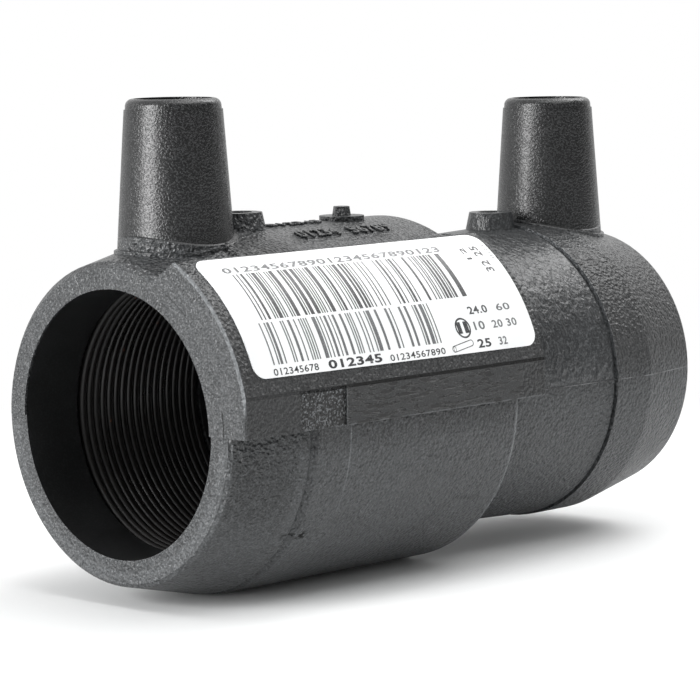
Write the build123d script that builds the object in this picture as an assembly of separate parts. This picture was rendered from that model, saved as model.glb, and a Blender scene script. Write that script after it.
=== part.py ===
from build123d import *
import math
import os

# Reducing electrofusion coupler for PE pressure pipe, one socket for each of two pipe sizes.
# Millimetres. The common axis of both sockets is X, the origin is the centre of the large
# socket's mouth, +X runs towards the small socket's mouth and +Z points up the terminals.

# ---- Pipes and sockets -----------------------------------------------------------------
large_pipe_diameter = 32.0
small_pipe_diameter = 25.0
socket_play = 0.1                  # radial gap between a cold pipe and its socket
large_socket_depth = 41.0
small_socket_depth = 38.0
flow_bore_diameter = 20.4          # free way through the pipe stop
overall_length = 87.5

# ---- Outside of the moulding, from the large end to the small end ----------------------
large_lip_wall = 2.5               # wall at the large mouth
end_break_length = 0.7             # bevel around each mouth, along the axis
end_break_height = 0.75            # the same bevel, measured outwards
large_taper_length = 10.2          # from the bevel to the shallow ring
ring_height_below_barrel = 0.3     # the taper stops this far below the barrel
ring_groove_width = 1.3
ring_groove_depth = 0.35
barrel_wall = 5.8                  # over the large bore
barrel_end = 47.7                  # where the barrel steps down to the tube
barrel_end_radius = 0.8
barrel_rise = 0.12                 # the barrel swells this much over its first stretch
barrel_rise_length = 5.0
tube_wall_start = 5.75             # over the small bore, beside the barrel
tube_wall_end = 6.6                # over the small bore, beside the collar
collar_start = 69.7
collar_wall = 6.85
collar_length = 6.8
collar_groove_width = 0.45
collar_groove_depth = 0.35
small_shoulder_wall = 4.8          # over the small bore, at the inner edge of the bevel
mould_offset = 0.3                 # the lower mould half ends this much short of the upper one

# ---- Label pad -------------------------------------------------------------------------
pad_rise = 0.6                     # above the barrel
pad_side_rise = 0.1                # the upright side face, outside the barrel
pad_length = 52.2
pad_top_angle = 61.5               # degrees above the parting plane
pad_top_slope = 34.0               # degrees below level of the pad's upper side face
pad_edge_break = 0.25
side_recess_start = 9.0            # rough recess in the pad's upright side
side_recess_length = 7.7
side_recess_depth = 0.15

# ---- Label -----------------------------------------------------------------------------
label_thickness = 0.12
label_near_margin = 2.3
label_far_margin = 0.9
label_low_angle = 14.6
label_top_margin_angle = 1.0       # left free below the pad's upper edge
label_corner_radius = 1.8

# ---- Terminals -------------------------------------------------------------------------
near_terminal_x = 10.6
far_terminal_setback = 8.5         # from the small mouth
near_terminal_height = 38.1        # top of the shroud, above the axis
far_terminal_drop = 2.4            # the far shroud's top is lower by this much
shroud_bore_diameter = 9.4
shroud_wall = 1.13                 # at the rim
shroud_draft_angle = 3.9
shroud_depth = 13.0
shroud_rim_radius = 0.9
shroud_lip_height = 1.3
shroud_lip_step = 0.15
shroud_foot_width = 0.5            # ledge round the foot, following the wall
shroud_foot_height = 0.4
pin_diameter = 4.0
pin_recess = 4.3                   # from the rim down to the pin's tip
pin_tip_break = 0.5
pin_flange_diameter = 6.4
pin_flange_thickness = 0.8
insert_gap = 0.03                  # round everything that is moulded in

# ---- Fusion indicators -----------------------------------------------------------------
near_indicator_offset = 10.6       # from its terminal, towards the middle
far_indicator_offset = 11.7
indicator_boss_diameter = 5.6      # at the top
indicator_boss_height = 2.0        # above the wall it stands on
indicator_boss_flare = 0.43        # the foot is this much wider, all round
indicator_hole_diameter = 3.2
indicator_hole_depth = 3.4
indicator_gap = 0.05
indicator_recess = 0.35

# ---- Moulding gate mark ----------------------------------------------------------------
gate_x = 39.1
gate_disc_diameter = 5.65
gate_disc_height = 0.5
gate_stub_width = 2.1
gate_stub_height = 1.15
gate_stub_draft = 8.0

# ---- Heating coil ----------------------------------------------------------------------
coil_pitch = 1.1
coil_wire_width = 1.02             # covered wire, slightly less than the pitch
coil_wire_depth = 1.1
coil_ridge_width = 0.3             # the rounded top of each turn, towards the bore
coil_cover_gap = 0.05              # the turns lie this much behind the bore
coil_back_gap = 0.05               # bedding behind the turns
coil_outset = 1.7                  # the outermost turn reaches past its terminal's axis
coil_overrun_angle = 2.0           # each zone's end lies this far over the link wire
large_coil_turns = 18
small_coil_turns = 17
link_gap = 0.05                    # round the link wire in its duct

# ---- Worked out from the sizes above ---------------------------------------------------
same_place = 0.01                  # edges this near to a station lie on it
far_terminal_height = near_terminal_height - far_terminal_drop
large_bore_radius = large_pipe_diameter / 2 + socket_play
small_bore_radius = small_pipe_diameter / 2 + socket_play
small_stop_x = overall_length - small_socket_depth
barrel_radius = large_bore_radius + barrel_wall
large_lip_radius = large_bore_radius + large_lip_wall
collar_radius = small_bore_radius + collar_wall
collar_end = collar_start + collar_length
small_shoulder_radius = small_bore_radius + small_shoulder_wall
tube_start_radius = small_bore_radius + tube_wall_start
tube_end_radius = small_bore_radius + tube_wall_end
ring_x = end_break_length + large_taper_length
ring_radius = barrel_radius - ring_height_below_barrel
far_terminal_x = overall_length - far_terminal_setback
near_indicator_x = near_terminal_x + near_indicator_offset
far_indicator_x = far_terminal_x - far_indicator_offset
pad_radius = barrel_radius + pad_rise
pad_side_y = -(barrel_radius + pad_side_rise)
coil_pocket_depth = coil_cover_gap + coil_wire_depth + coil_back_gap
large_coil_start = near_terminal_x - coil_outset
large_coil_end = large_coil_start + large_coil_turns * coil_pitch
small_coil_end = far_terminal_x + coil_outset
small_coil_start = small_coil_end - small_coil_turns * coil_pitch
shroud_rim_outer_radius = shroud_bore_diameter / 2 + shroud_wall
link_radius = coil_wire_depth / 2 - coil_cover_gap


def tube_radius_at(x):
    """Outer radius of the tapering tube between the barrel and the collar."""
    share = (x - barrel_end) / (collar_start - barrel_end)
    return tube_start_radius + share * (tube_end_radius - tube_start_radius)


def turned(points):
    """A body of revolution about the X axis from (x, radius) points."""
    outline = make_face(Polyline(*[(x, radius, 0) for x, radius in points], close=True))
    return revolve(Plane.XY * outline, Axis.X, 360)


def disc_on_top(x, radius, low, high):
    """An upright cylinder over the axis, between two heights."""
    return Pos(x, 0, (low + high) / 2) * Cylinder(radius, high - low)


def cone_on_top(x, low_radius, high_radius, low, high):
    """An upright cone over the axis, between two heights."""
    return Pos(x, 0, (low + high) / 2) * Cone(low_radius, high_radius, high - low)


def arc_point(radius, degrees):
    """A point of the YZ section, at an angle above the parting plane on the label's side."""
    angle = math.radians(degrees)
    return (-radius * math.cos(angle), radius * math.sin(angle))


# ---- Moulded body ----------------------------------------------------------------------

def outer_form(swell=0.0):
    """The turned outside: bevelled and tapered ends, barrel, tube, groove and collar."""
    groove_middle = ring_x + ring_groove_width / 2
    groove_end = ring_x + ring_groove_width
    collar_groove = collar_start - collar_groove_width
    end_bevel = overall_length - end_break_length
    profile = [
        (0, large_lip_radius),
        (end_break_length, large_lip_radius + end_break_height),
        (ring_x, ring_radius),
        (groove_middle, ring_radius - ring_groove_depth),
        (groove_end, barrel_radius - barrel_rise),
        (groove_end + barrel_rise_length, barrel_radius),
        (barrel_end, barrel_radius),
        (barrel_end, tube_start_radius),
        (collar_groove, tube_radius_at(collar_groove)),
        (collar_groove, tube_end_radius - collar_groove_depth),
        (collar_start, tube_end_radius - collar_groove_depth),
        (collar_start, collar_radius),
        (collar_end, collar_radius),
        (end_bevel, small_shoulder_radius),
        (overall_length, small_shoulder_radius - end_break_height),
    ]
    outside = [(x, radius + swell) for x, radius in profile]
    form = turned([(0, 0), *outside, (overall_length, 0)])
    rim = form.edges().filter_by(
        lambda edge: edge.geom_type == GeomType.CIRCLE
        and abs(edge.arc_center.X - barrel_end) < same_place
        and abs(edge.radius - barrel_radius - swell) < same_place
    )
    return fillet(rim, barrel_end_radius)


def label_pad():
    """The raised plate under the label, with an upright side that leaves the mould."""
    side_top = math.sqrt(pad_radius ** 2 - pad_side_y ** 2)
    side_top_angle = math.degrees(math.atan2(side_top, -pad_side_y))
    crown = arc_point(pad_radius, pad_top_angle)
    crown_run = pad_rise + barrel_wall - large_lip_wall + end_break_height
    slope = math.radians(pad_top_slope)
    root = (crown[0] + crown_run * math.cos(slope), crown[1] - crown_run * math.sin(slope))
    root_radius = math.hypot(*root)
    root_angle = math.degrees(math.atan2(root[1], -root[0]))
    middle_angle = (side_top_angle + pad_top_angle) / 2
    outline = Polyline((-root_radius, 0), (pad_side_y, 0), (pad_side_y, side_top))
    outline += ThreePointArc((pad_side_y, side_top), arc_point(pad_radius, middle_angle), crown)
    outline += Line(crown, root)
    outline += ThreePointArc(root, arc_point(root_radius, root_angle / 2), (-root_radius, 0))
    plate = extrude(Plane.YZ * make_face(outline), pad_length)
    plate -= Pos(side_recess_start, pad_side_y, 0) * Box(
        side_recess_length,
        2 * side_recess_depth,
        side_top,
        align=(Align.MIN, Align.CENTER, Align.MIN),
    )
    mouth_edges = plate.edges().filter_by(
        lambda edge: abs(edge.center().X) < same_place and math.hypot(edge.center().Y, edge.center().Z)
        > (pad_radius + barrel_radius) / 2
    )
    return chamfer(mouth_edges, pad_edge_break)


def shroud_form(x, top, foot):
    """One drafted terminal shroud, solid, with its stepped and rounded rim."""
    draft = math.tan(math.radians(shroud_draft_angle))
    lip_low = top - shroud_lip_height
    lip_radius = shroud_rim_outer_radius - shroud_lip_step
    skirt = cone_on_top(
        x,
        shroud_rim_outer_radius + draft * (top - foot),
        shroud_rim_outer_radius + draft * shroud_lip_height,
        foot,
        lip_low,
    )
    lip = cone_on_top(x, lip_radius + draft * shroud_lip_height, lip_radius, lip_low, top)
    rounded = fillet(lip.edges().sort_by(Axis.Z)[-1], shroud_rim_radius)
    return skirt + rounded


def shroud_feet():
    """The low ledges that follow the wall round both shrouds."""
    draft = math.tan(math.radians(shroud_draft_angle))
    near_root = shroud_rim_outer_radius + draft * (near_terminal_height - ring_radius)
    far_root = shroud_rim_outer_radius + draft * (far_terminal_height - collar_radius)
    near_disc = disc_on_top(near_terminal_x, near_root + shroud_foot_width, 0, near_terminal_height)
    far_disc = disc_on_top(far_terminal_x, far_root + shroud_foot_width, 0, far_terminal_height)
    return outer_form(shroud_foot_height) & (near_disc + far_disc)


def indicator_boss(x, wall_radius):
    """The flared boss round one fusion indicator, solid."""
    top = wall_radius + indicator_boss_height
    top_radius = indicator_boss_diameter / 2
    foot = wall_radius - indicator_boss_height
    flare = indicator_boss_flare * (top - foot) / indicator_boss_height
    return cone_on_top(x, top_radius + flare, top_radius, foot, top)


def gate_mark():
    """The disc and broken stub that the injection gate leaves on the barrel."""
    disc_top = barrel_radius + gate_disc_height
    disc = disc_on_top(gate_x, gate_disc_diameter / 2, barrel_radius - gate_disc_height, disc_top)
    stub_face = Plane.XY.offset(disc_top) * Pos(gate_x, 0) * RegularPolygon(
        gate_stub_width / 2, 6, major_radius=False
    )
    return disc + extrude(stub_face, gate_stub_height, taper=gate_stub_draft)


def socket_bores():
    """Everything open along the axis: both sockets, the pipe stop and the coil pockets."""
    large_pocket = large_bore_radius + coil_pocket_depth
    small_pocket = small_bore_radius + coil_pocket_depth
    margin = coil_pitch / 2
    return turned([
        (0, 0),
        (0, large_bore_radius),
        (large_coil_start - margin, large_bore_radius),
        (large_coil_start - margin, large_pocket),
        (large_coil_end + margin, large_pocket),
        (large_coil_end + margin, large_bore_radius),
        (large_socket_depth, large_bore_radius),
        (large_socket_depth, flow_bore_diameter / 2),
        (small_stop_x, flow_bore_diameter / 2),
        (small_stop_x, small_bore_radius),
        (small_coil_start - margin, small_bore_radius),
        (small_coil_start - margin, small_pocket),
        (small_coil_end + margin, small_pocket),
        (small_coil_end + margin, small_bore_radius),
        (overall_length, small_bore_radius),
        (overall_length, 0),
    ])


def terminal_hole(x, top, bore_radius):
    """The open shroud and the hole that grips the pin, down to the coil pocket."""
    floor = top - shroud_depth
    pin_foot = bore_radius + coil_pocket_depth
    grip = pin_diameter / 2 + insert_gap
    return disc_on_top(x, shroud_bore_diameter / 2, floor, top) + disc_on_top(x, grip, pin_foot, floor)


def indicator_hole(x, wall_radius):
    """The blind hole that holds one indicator pin."""
    top = wall_radius + indicator_boss_height
    return disc_on_top(x, indicator_hole_diameter / 2, top - indicator_hole_depth, top)


def link_stations():
    """The link wire's run along the top: behind the large bore, through the stop, and on."""
    large_level = large_bore_radius + coil_cover_gap + coil_wire_depth / 2
    small_level = small_bore_radius + coil_cover_gap + coil_wire_depth / 2
    return [
        Vector(large_coil_end - link_radius, 0, large_level),
        Vector(large_socket_depth, 0, large_level),
        Vector(small_stop_x, 0, small_level),
        Vector(small_coil_start + link_radius, 0, small_level),
    ]


def round_run(stations, radius):
    """A round bar through straight stations, with a ball at each bend."""
    bar = Part()
    for start, end in zip(stations, stations[1:]):
        along = Plane(origin=start, z_dir=end - start)
        bar += extrude(along * Circle(radius), (end - start).length)
    for bend in stations[1:-1]:
        bar += Pos(bend) * Sphere(radius)
    return bar


def coupler_body():
    """The one-piece polyethylene moulding."""
    near_foot = large_bore_radius + large_lip_wall / 2
    far_foot = small_bore_radius + small_shoulder_wall / 2
    near_shroud = shroud_form(near_terminal_x, near_terminal_height, near_foot)
    far_shroud = shroud_form(far_terminal_x, far_terminal_height, far_foot)
    body = outer_form() + near_shroud + far_shroud + shroud_feet() + label_pad()
    body += indicator_boss(near_indicator_x, barrel_radius)
    body += indicator_boss(far_indicator_x, tube_radius_at(far_indicator_x))
    body += gate_mark()
    body -= socket_bores()
    body -= terminal_hole(near_terminal_x, near_terminal_height, large_bore_radius)
    body -= terminal_hole(far_terminal_x, far_terminal_height, small_bore_radius)
    body -= indicator_hole(near_indicator_x, barrel_radius)
    body -= indicator_hole(far_indicator_x, tube_radius_at(far_indicator_x))
    body -= round_run(link_stations(), link_radius + link_gap)
    lower_face = Box(
        mould_offset,
        3 * barrel_radius,
        2 * barrel_radius,
        align=(Align.MIN, Align.CENTER, Align.MAX),
    )
    return body - lower_face


# ---- Inserts ---------------------------------------------------------------------------

def terminal_pin(x, top, bore_radius):
    """A contact pin whose flange sits on the shroud's floor and whose foot meets the coil."""
    tip = top - pin_recess
    floor = top - shroud_depth
    foot = bore_radius + coil_pocket_depth
    shank = disc_on_top(x, pin_diameter / 2, foot, tip)
    shank = chamfer(shank.edges().sort_by(Axis.Z)[-1], pin_tip_break)
    flange = disc_on_top(x, pin_flange_diameter / 2, floor, floor + pin_flange_thickness)
    return shank + flange


def indicator_pin(x, wall_radius):
    """The small pin that rises when its socket has fused."""
    top = wall_radius + indicator_boss_height
    return disc_on_top(
        x,
        indicator_hole_diameter / 2 - indicator_gap,
        top - indicator_hole_depth,
        top - indicator_recess,
    )


def winding(bore_radius, inner_x, turns, way):
    """One left-hand zone of the coil, wound from its link end towards its own mouth.

    Each turn is a ridge towards the bore; way is +1 along X for the small zone, -1 for the large.
    """
    ridge = bore_radius + coil_cover_gap
    back = ridge + coil_wire_depth
    section = Plane.XZ * make_face(
        Polyline(
            (ridge, -coil_ridge_width / 2),
            (ridge, coil_ridge_width / 2),
            (back, coil_wire_width / 2),
            (back, -coil_wire_width / 2),
            close=True,
        )
    )
    path = Helix(coil_pitch, turns * coil_pitch, back, lefthand=True)
    wire = sweep(section, path, is_frenet=True)
    start_angle = 90 + 90 * way + coil_overrun_angle
    return Pos(inner_x, 0, 0) * Rot(0, 90 * way, 0) * Rot(0, 0, start_angle) * wire


def heating_coil():
    """The one continuous wire: large zone, link through the pipe stop, small zone."""
    large_zone = winding(large_bore_radius, large_coil_end, large_coil_turns, -1)
    small_zone = winding(small_bore_radius, small_coil_start, small_coil_turns, 1)
    return large_zone + round_run(link_stations(), link_radius) + small_zone


def label():
    """The stuck-on label: a thin curved sheet with round corners."""
    length = pad_length - label_near_margin - label_far_margin
    high_angle = pad_top_angle - label_top_margin_angle
    middle_angle = (label_low_angle + high_angle) / 2
    half_angle = math.radians(high_angle - label_low_angle) / 2
    width = 2 * pad_radius * math.sin(half_angle)
    middle = arc_point(1, middle_angle)
    outward = Vector(0, *middle)
    face_plane = Plane(
        origin=(label_near_margin + length / 2, 0, 0), x_dir=(1, 0, 0), z_dir=outward
    )
    window = extrude(
        face_plane * RectangleRounded(length, width, label_corner_radius),
        2 * pad_radius,
    )
    sheet = turned([
        (0, pad_radius),
        (0, pad_radius + label_thickness),
        (pad_length, pad_radius + label_thickness),
        (pad_length, pad_radius),
    ])
    return sheet & window


nodes = {
    "coupler_body": coupler_body(),
    "heating_coil": heating_coil(),
    "terminal_pin_near": terminal_pin(near_terminal_x, near_terminal_height, large_bore_radius),
    "terminal_pin_far": terminal_pin(far_terminal_x, far_terminal_height, small_bore_radius),
    "fusion_indicator_near": indicator_pin(near_indicator_x, barrel_radius),
    "fusion_indicator_far": indicator_pin(far_indicator_x, tube_radius_at(far_indicator_x)),
    "label": label(),
}

os.makedirs("parts", exist_ok=True)
for name, shape in nodes.items():
    export_step(shape, f"parts/{name}.step")
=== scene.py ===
"""Electrofusion reducing coupler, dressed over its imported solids."""

import logging
import math
from dataclasses import dataclass, field
from enum import Enum

import bmesh
import bpy
from mathutils import Matrix, Vector

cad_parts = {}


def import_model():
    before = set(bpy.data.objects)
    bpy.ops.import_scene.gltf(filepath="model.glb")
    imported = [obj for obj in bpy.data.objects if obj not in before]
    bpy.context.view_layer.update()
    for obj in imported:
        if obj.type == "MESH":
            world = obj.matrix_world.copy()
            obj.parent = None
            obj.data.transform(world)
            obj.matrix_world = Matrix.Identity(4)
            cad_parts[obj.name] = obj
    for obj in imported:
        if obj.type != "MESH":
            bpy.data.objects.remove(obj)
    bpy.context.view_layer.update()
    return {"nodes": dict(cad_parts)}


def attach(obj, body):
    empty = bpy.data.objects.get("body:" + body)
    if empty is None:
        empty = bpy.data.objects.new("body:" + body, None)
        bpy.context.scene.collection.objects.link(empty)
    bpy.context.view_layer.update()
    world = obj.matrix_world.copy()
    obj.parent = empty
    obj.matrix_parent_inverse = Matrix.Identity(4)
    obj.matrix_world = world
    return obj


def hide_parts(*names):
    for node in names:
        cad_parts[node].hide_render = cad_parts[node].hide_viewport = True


Material = bpy.types.Material
Mesh = bpy.types.Mesh
Node = bpy.types.Node
NodeTree = bpy.types.NodeTree
Object = bpy.types.Object
Socket = bpy.types.NodeSocket

LOG = logging.getLogger("coupler")
MM = 0.001
ROOT = "root"
FIGURE_DEPTH = 0.36


# ---- Node helpers ------------------------------------------------------------------------

class Tree:
    """A thin wrapper that adds, sets and links nodes in one node tree."""

    def __init__(self, tree: NodeTree) -> None:
        """Keep the tree that nodes are added to."""
        self.tree = tree

    def node(self, kind: str, settings: dict | None = None, inputs: dict | None = None) -> Node:
        """Add a node.

        Args:
            kind: The node's type identifier.
            settings: Attributes of the node, such as operation or data_type.
            inputs: Values or output sockets by input name or index.

        Returns:
            The new node.
        """
        made = self.tree.nodes.new(kind)
        for key, value in (settings or {}).items():
            setattr(made, key, value)
        for key, value in (inputs or {}).items():
            self.feed(made, key, value)
        return made

    def feed(self, node: Node, key: str | int, value: object) -> None:
        """Link or set one input of a node."""
        socket = node.inputs[key]
        if isinstance(value, Socket):
            self.tree.links.new(value, socket)
        else:
            socket.default_value = value

    def math(self, operation: str, *values: object, clamp: bool = False) -> Socket:
        """Add a Math node and give its output."""
        kind = "ShaderNodeMath"
        node = self.node(
            kind, {"operation": operation, "use_clamp": clamp}, dict(enumerate(values))
        )
        return node.outputs[0]

    def ramp(
        self, value: object, low: float, high: float, to_low: float = 0.0, to_high: float = 1.0
    ) -> Socket:
        """Map a value smoothly from one range to another and give the output.

        Args:
            value: What is mapped.
            low: Start of its range.
            high: End of its range; below low for a falling ramp.
            to_low: Result at low.
            to_high: Result at high.

        Returns:
            The mapped value.
        """
        node = self.node(
            "ShaderNodeMapRange",
            {"interpolation_type": "SMOOTHSTEP"},
            {
                "Value": value,
                "From Min": low,
                "From Max": high,
                "To Min": to_low,
                "To Max": to_high,
            },
        )
        return node.outputs["Result"]

    def mix(self, factor: object, first: object, second: object) -> Socket:
        """Mix two colours and give the output."""
        node = self.node("ShaderNodeMix", {"data_type": "RGBA"}, {0: factor, 6: first, 7: second})
        return node.outputs[2]

    def blend(self, factor: object, first: object, second: object) -> Socket:
        """Mix two plain values and give the output."""
        node = self.node("ShaderNodeMix", {"data_type": "FLOAT"}, {0: factor, 2: first, 3: second})
        return node.outputs[0]


def new_group(
    name: str, kind: str, inputs: list[tuple], outputs: list[tuple]
) -> tuple[NodeTree, Tree, Node, Node]:
    """Make a node group with named sockets.

    Args:
        name: The group's name.
        kind: ShaderNodeTree or GeometryNodeTree.
        inputs: (name, socket type, default) for each input; the default may be None.
        outputs: (name, socket type) for each output.

    Returns:
        The group, its Tree wrapper, its input node and its output node.
    """
    group = bpy.data.node_groups.new(name, kind)
    for label, socket, default in inputs:
        made = group.interface.new_socket(label, in_out="INPUT", socket_type=socket)
        if default is not None:
            made.default_value = default
    for label, socket in outputs:
        group.interface.new_socket(label, in_out="OUTPUT", socket_type=socket)
    tree = Tree(group)
    return group, tree, group.nodes.new("NodeGroupInput"), group.nodes.new("NodeGroupOutput")


def input_ids(group: NodeTree) -> dict[str, str]:
    """Give the identifier of each named input of a geometry tree."""
    return {
        item.name: item.identifier
        for item in group.interface.items_tree
        if item.item_type == "SOCKET" and item.in_out == "INPUT"
    }


# ---- Mesh helpers ------------------------------------------------------------------------

def object_from(mesh: Mesh, name: str) -> Object:
    """Put a mesh in the scene as an object at the origin."""
    made = bpy.data.objects.new(name, mesh)
    bpy.context.scene.collection.objects.link(made)
    return made


def mesh_from(name: str, points: list, faces: list) -> Mesh:
    """Make a mesh from points in millimetres and faces, with faces pointing outwards."""
    mesh = bpy.data.meshes.new(name)
    mesh.from_pydata([tuple(v * MM for v in p) for p in points], [], faces)
    mesh.validate()
    return mesh


def run_geometry(source: Object, group: NodeTree, values: dict, name: str) -> Object:
    """Run a geometry tree on an object and keep the result as a plain mesh object.

    Args:
        source: The object that carries the tree for the run; it is removed afterwards.
        group: The geometry tree.
        values: Input values by the input's name.
        name: The new object's name.

    Returns:
        The new object, at the origin.
    """
    modifier = source.modifiers.new("nodes", "NODES")
    modifier.node_group = group
    ids = input_ids(group)
    for key, value in values.items():
        modifier[ids[key]] = value
    source.update_tag()
    bpy.context.view_layer.update()
    graph = bpy.context.evaluated_depsgraph_get()
    mesh = bpy.data.meshes.new_from_object(source.evaluated_get(graph))
    source.modifiers.remove(modifier)
    bpy.data.objects.remove(source)
    mesh.name = name
    return object_from(mesh, name)


def smooth_by_angle(mesh: Mesh, degrees: float) -> None:
    """Shade a mesh smooth, with edges sharper than an angle kept crisp."""
    mesh.polygons.foreach_set("use_smooth", [True] * len(mesh.polygons))
    mesh.set_sharp_from_angle(angle=math.radians(degrees))


def dress(node: Object, material: Material) -> Object:
    """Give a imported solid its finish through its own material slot."""
    for slot in node.material_slots:
        slot.material = material
    LOG.info("%s: packed solid, %d faces", node.name, len(node.data.polygons))
    return node


def settle(piece: Object, slot: str, *nodes: str) -> Object:
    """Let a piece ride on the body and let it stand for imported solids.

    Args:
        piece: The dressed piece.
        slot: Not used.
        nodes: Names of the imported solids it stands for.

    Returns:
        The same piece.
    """
    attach(piece, ROOT)
    if nodes:
        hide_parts(*nodes)
    LOG.info("%s: %d faces", piece.name, len(piece.data.polygons))
    return piece


# ---- Shared shader groups ----------------------------------------------------------------

class ShaderKit:
    """The node groups that more than one finish uses, each built once."""

    def __init__(self) -> None:
        """Build every group."""
        self.grain = self.grain_group()
        self.band = self.band_group()
        self.around = self.around_group()

    def grain_group(self) -> NodeTree:
        """Sand-like moulded grain: a height and a speckle, both from object coordinates.

        Returns:
            The group, with a height, a speckle and a cloud as outputs.
        """
        group, tree, enter, leave = new_group(
            "moulded grain",
            "ShaderNodeTree",
            [
                ("Vector", "NodeSocketVector", None),
                ("Grain Size", "NodeSocketFloat", 0.3),
                ("Cloud Size", "NodeSocketFloat", 6.0),
                ("Seed", "NodeSocketFloat", 0.0),
            ],
            [
                ("Height", "NodeSocketFloat"),
                ("Speckle", "NodeSocketFloat"),
                ("Cloud", "NodeSocketFloat"),
            ],
        )
        per_metre = tree.math("DIVIDE", 1000.0, enter.outputs["Grain Size"])
        shifted = tree.node(
            "ShaderNodeVectorMath",
            {"operation": "ADD"},
            {0: enter.outputs["Vector"], 1: enter.outputs["Seed"]},
        ).outputs[0]
        coarse = tree.node(
            "ShaderNodeTexNoise",
            None,
            {"Vector": shifted, "Scale": per_metre, "Detail": 2.0, "Roughness": 0.6},
        )
        fine_scale = tree.math("MULTIPLY", per_metre, 2.3)
        fine = tree.node(
            "ShaderNodeTexNoise", None, {"Vector": shifted, "Scale": fine_scale, "Detail": 1.0}
        )
        cells = tree.node(
            "ShaderNodeTexVoronoi", {"feature": "F1"}, {"Vector": shifted, "Scale": per_metre}
        )
        pits = tree.ramp(cells.outputs["Distance"], 0.1, 0.7)
        height = tree.math(
            "ADD", tree.math("MULTIPLY", coarse.outputs[0], 0.7), tree.math("MULTIPLY", pits, 0.3)
        )
        speckle = tree.ramp(fine.outputs[0], 0.42, 0.72)
        cloud_scale = tree.math("DIVIDE", 1000.0, enter.outputs["Cloud Size"])
        cloud = tree.node(
            "ShaderNodeTexNoise",
            None,
            {"Vector": shifted, "Scale": cloud_scale, "Detail": 2.0, "Roughness": 0.6},
        )
        tree.feed(leave, "Height", height)
        tree.feed(leave, "Speckle", speckle)
        tree.feed(leave, "Cloud", tree.ramp(cloud.outputs[0], 0.35, 0.68))
        return group

    def band_group(self) -> NodeTree:
        """A soft-edged mask that is 1 between two values.

        Returns:
            The group.
        """
        group, tree, enter, leave = new_group(
            "band mask",
            "ShaderNodeTree",
            [
                ("Value", "NodeSocketFloat", 0.0),
                ("From", "NodeSocketFloat", 0.0),
                ("To", "NodeSocketFloat", 1.0),
                ("Softness", "NodeSocketFloat", 0.1),
            ],
            [("Mask", "NodeSocketFloat")],
        )
        value = enter.outputs["Value"]
        soft = enter.outputs["Softness"]
        rise = tree.ramp(
            value,
            tree.math("SUBTRACT", enter.outputs["From"], soft),
            tree.math("ADD", enter.outputs["From"], soft),
        )
        fall = tree.ramp(
            value,
            tree.math("SUBTRACT", enter.outputs["To"], soft),
            tree.math("ADD", enter.outputs["To"], soft),
        )
        kept = tree.math("SUBTRACT", 1.0, fall)
        tree.feed(leave, "Mask", tree.math("MULTIPLY", rise, kept))
        return group

    def around_group(self) -> NodeTree:
        """Cylinder coordinates about the pipe axis, in millimetres and degrees.

        Returns:
            The group.
        """
        group, tree, enter, leave = new_group(
            "around the axis",
            "ShaderNodeTree",
            [("Vector", "NodeSocketVector", None)],
            [(name, "NodeSocketFloat") for name in ("Along", "Radius", "Angle", "Side", "Height")],
        )
        parts = tree.node("ShaderNodeSeparateXYZ", None, {0: enter.outputs["Vector"]})
        along = tree.math("MULTIPLY", parts.outputs[0], 1000.0)
        side = tree.math("MULTIPLY", parts.outputs[1], 1000.0)
        high = tree.math("MULTIPLY", parts.outputs[2], 1000.0)
        squares = tree.math(
            "ADD", tree.math("MULTIPLY", side, side), tree.math("MULTIPLY", high, high)
        )
        radius = tree.math("SQRT", squares)
        angle = tree.math("ARCTAN2", high, tree.math("MULTIPLY", side, -1.0))
        tree.feed(leave, "Along", along)
        tree.feed(leave, "Radius", radius)
        tree.feed(leave, "Angle", tree.math("DEGREES", angle))
        tree.feed(leave, "Side", side)
        tree.feed(leave, "Height", high)
        return group


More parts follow.
